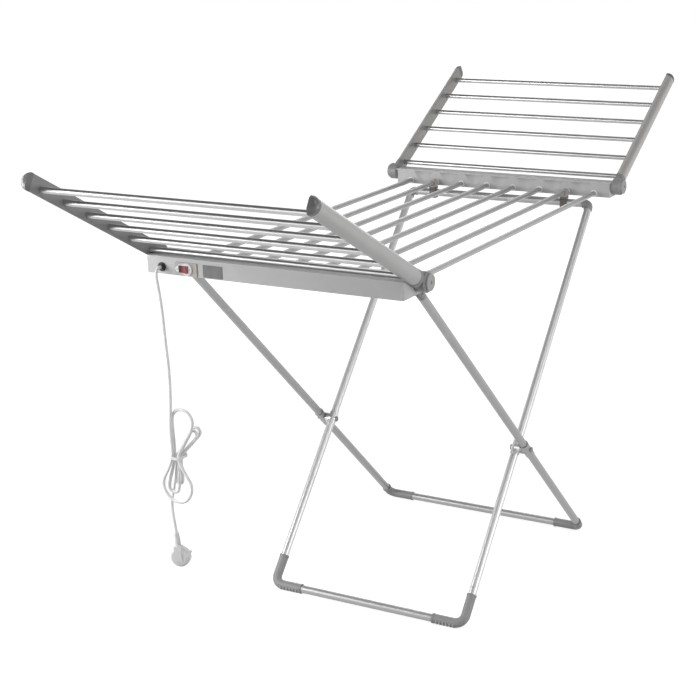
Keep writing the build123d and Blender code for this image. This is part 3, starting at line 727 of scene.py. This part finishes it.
# A thin blank plate with rounded corners, standing on the rail's front.
def blankLabel(look, front):
    form = bmesh.new()
    rim = []
    for quarter, (sideY, sideZ) in enumerate(((1, 1), (-1, 1), (-1, -1), (1, -1))):
        centreY = look["y"] + sideY * (look["width"] / 2 - look["corner"])
        centreZ = look["z"] + sideZ * (look["height"] / 2 - look["corner"])
        for step in range(look["cornerSteps"] + 1):
            angle = math.pi / 2 * (quarter + step / look["cornerSteps"])
            y = centreY + look["corner"] * math.cos(angle)
            z = centreZ + look["corner"] * math.sin(angle)
            rim.append(form.verts.new((front, y, z)))
    face = form.faces.new(rim)
    raised = bmesh.ops.extrude_face_region(form, geom=[face])["geom"]
    corners = [item for item in raised if isinstance(item, bmesh.types.BMVert)]
    bmesh.ops.translate(form, verts=corners, vec=(-look["thickness"], 0, 0))
    bmesh.ops.recalc_face_normals(form, faces=form.faces)
    return form


foilLook = {
    **plasticLook,
    "dark": grey(0.10),
    "light": grey(0.20),
    "worn": grey(0.34),
    "flowScale": 70.0,
}
labelFoil = mouldedPlastic("labelFoil", foilLook)
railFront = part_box("near_rail")[0][0]
newPiece("blankLabel", blankLabel(labelLook, railFront), labelFoil, "rack")

print("studio")

studioLook = {
    "floorSize": 24.0,
    "floorColour": grey(0.40),
    "lift": (0.80, 1.0),  # the paper's own glow to the eye: under the airer and far from it
    "liftFrom": 0.9,
    "liftTo": 2.6,
    "ambient": 0.24,
    "ceiling": 0.08,  # how bright the ceiling is, where the backdrop is 1
    "ceilingFrom": (0.26, 0.80),  # up and along X, of a heading one long
    "ceilingTo": (0.50, 0.50),
    "lights": [
        # name, place, aimed at, size, watts
        ("leftLight", (-1.05, 1.10, 0.88), (-0.45, 0.15, 0.62), 0.9, 15),
        ("leftSoftbox", (-2.4, 1.3, 1.4), (0.0, 0.0, 0.5), 1.2, 10),
        ("rightLight", (-0.2, -2.4, 0.55), (-0.2, 0.0, 0.7), 2.0, 28),
        ("rightSoftbox", (-1.1, -1.4, 2.6), (0.0, 0.0, 0.4), 1.7, 12),
        ("backLight", (2.6, 0.9, 1.3), (0.2, 0.0, 0.5), 1.8, 16),
        ("topLight", (0.9, 0.3, 3.4), (0.0, 0.0, 0.5), 2.0, 7),
    ],
}


# White paper: it takes the airer's shadow, and glows so that the eye and gloss see it white.
def paperFloor(look):
    size = look["floorSize"] / 2
    form = bmesh.new()
    sides = ((-1, -1), (1, -1), (1, 1), (-1, 1))
    form.faces.new([form.verts.new((x * size, y * size, 0)) for x, y in sides])
    mesh = bpy.data.meshes.new("studioFloor")
    form.to_mesh(mesh)
    form.free()
    floor = bpy.data.objects.new("studioFloor", mesh)
    bpy.context.scene.collection.objects.link(floor)
    paper = Finish("studioPaper")
    away = paper.vector("LENGTH", {0: paper.place()}, "Value")
    near, far = look["lift"]
    limits = {"From Min": look["liftFrom"], "From Max": look["liftTo"], "To Min": near, "To Max": far}
    lift = paper.fade(away, limits)
    glow = paper.blend(lift * paper.seen(), grey(0.0), grey(1.0))
    colour = paper.blend(paper.seen() * (lift - near), look["floorColour"], grey(0.0))
    paper.set(Base_Color=colour, Emission_Color=glow)
    paper.set(Roughness=1.0, Specular_IOR_Level=0.0, Emission_Strength=1.0)
    dress(floor, paper.material)


def makeLights(look):
    for name, place, aim, width, watts in look["lights"]:
        lamp = bpy.data.lights.new(name, "AREA")
        lamp.shape = "DISK"
        lamp.size = width
        lamp.energy = watts
        light = bpy.data.objects.new(name, lamp)
        bpy.context.scene.collection.objects.link(light)
        light.location = place
        light.rotation_euler = (Vector(aim) - Vector(place)).to_track_quat("-Z", "Y").to_euler()


# A backdrop that the eye and gloss see white, under a darker ceiling, and a low even light from it.
def makeWorld(look):
    world = bpy.data.worlds.new("studioWorld")
    world.use_nodes = True
    bpy.context.scene.world = world
    sky = Shading(world.node_tree)
    heading = sky.add("ShaderNodeTexCoord", output="Generated")
    parts = []
    for axis, start, full in zip(("Z", "X"), look["ceilingFrom"], look["ceilingTo"]):
        part = sky.add("ShaderNodeSeparateXYZ", None, {0: heading}, output=axis)
        parts.append(sky.fade(part, {"From Min": start, "From Max": full}))
    shade = 1 - parts[0] * parts[1] * (1 - look["ceiling"])
    seen = sky.seen()
    background = world.node_tree.nodes["Background"]
    sky.join(background.inputs["Color"], grey(1.0))
    sky.join(background.inputs["Strength"], seen * shade + (1 - seen) * look["ambient"])


paperFloor(studioLook)
makeLights(studioLook)
makeWorld(studioLook)
bpy.context.scene.view_settings.view_transform = "Standard"
